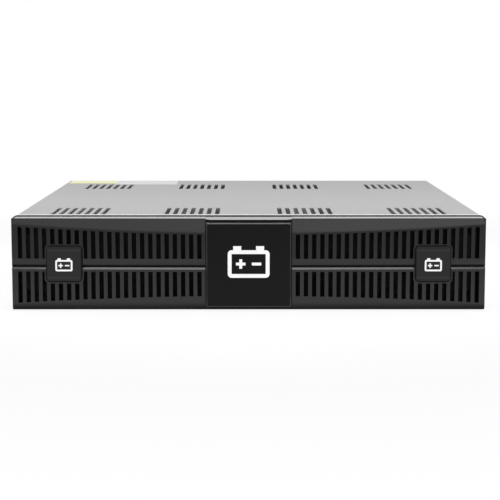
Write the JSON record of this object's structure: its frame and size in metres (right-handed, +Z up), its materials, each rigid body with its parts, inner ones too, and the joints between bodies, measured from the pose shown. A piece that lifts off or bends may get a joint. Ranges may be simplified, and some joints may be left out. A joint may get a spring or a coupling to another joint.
{
  "type": "ups battery module",
  "caption": "Flat rack or tower battery module: grey sheet-metal case with a slotted lid, black moulded front with slotted grilles, a square centre panel and square badge caps.",
  "frame": {"origin": "middle of the bounding box in X and Y, on the floor under the chassis", "axes": "+Z up, the front with its grilles faces -Y, +X to the right seen from the front"},
  "size_m": [0.442, 0.458, 0.088],
  "materials": {
    "case_paint": "light grey powder coat",
    "plate_paint": "matt dark grey powder coat",
    "bezel_plastic": "fine moulded texture",
    "panel_plastic": "smooth satin",
    "cap_plastic": "smooth satin",
    "galvanised": "zinc coated sheet",
    "battery_case": "light grey moulding",
    "tinned_metal": "tin plated",
    "sleeve_plastic": "natural nylon",
    "contact_metal": "plated",
    "red_sheath": "smooth cable sheath",
    "black_sheath": "smooth cable sheath",
    "fuse_plastic": "moulded",
    "fuse_body": "glazed tube",
    "connector_plastic": "moulded",
    "screw_steel": "zinc plated",
    "black_zinc": "black zinc plated"
  },
  "bodies": {
    "root": {"base_chassis": "case_paint", "top_cover": "case_paint", "rear_panel": "case_paint", "front_plate": "plate_paint", "front_bezel": "bezel_plastic", "centre_panel": "panel_plastic", "badge_cap_left": "cap_plastic", "badge_cap_right": "cap_plastic", "battery_tray_left": "galvanised", "battery_tray_right": "galvanised", "centre_divider": "galvanised", "hold_down_bar_front": "galvanised", "hold_down_bar_rear": "galvanised", "rear_partition": "galvanised", "battery_1": "battery_case", "battery_2": "battery_case", "battery_3": "battery_case", "battery_4": "battery_case", "battery_5": "battery_case", "battery_6": "battery_case", "battery_7": "battery_case", "battery_8": "battery_case", "positive_terminals": "tinned_metal", "negative_terminals": "tinned_metal", "terminal_sleeves": "sleeve_plastic", "connector_contacts": "contact_metal", "lead_positive": "red_sheath", "lead_fused": "red_sheath", "jumper_positive": "red_sheath", "series_links": "black_sheath", "lead_bridge": "black_sheath", "lead_negative": "black_sheath", "jumper_negative": "black_sheath", "fuse_block": "fuse_plastic", "fuse_link": "fuse_body", "dc_connector_left": "connector_plastic", "dc_connector_right": "connector_plastic", "rear_panel_screws": "screw_steel", "cover_screws": "screw_steel", "connector_screws": "screw_steel", "ground_stud": "screw_steel", "ground_nut": "screw_steel", "front_plate_screws": "black_zinc"}
  },
  "joints": []
}
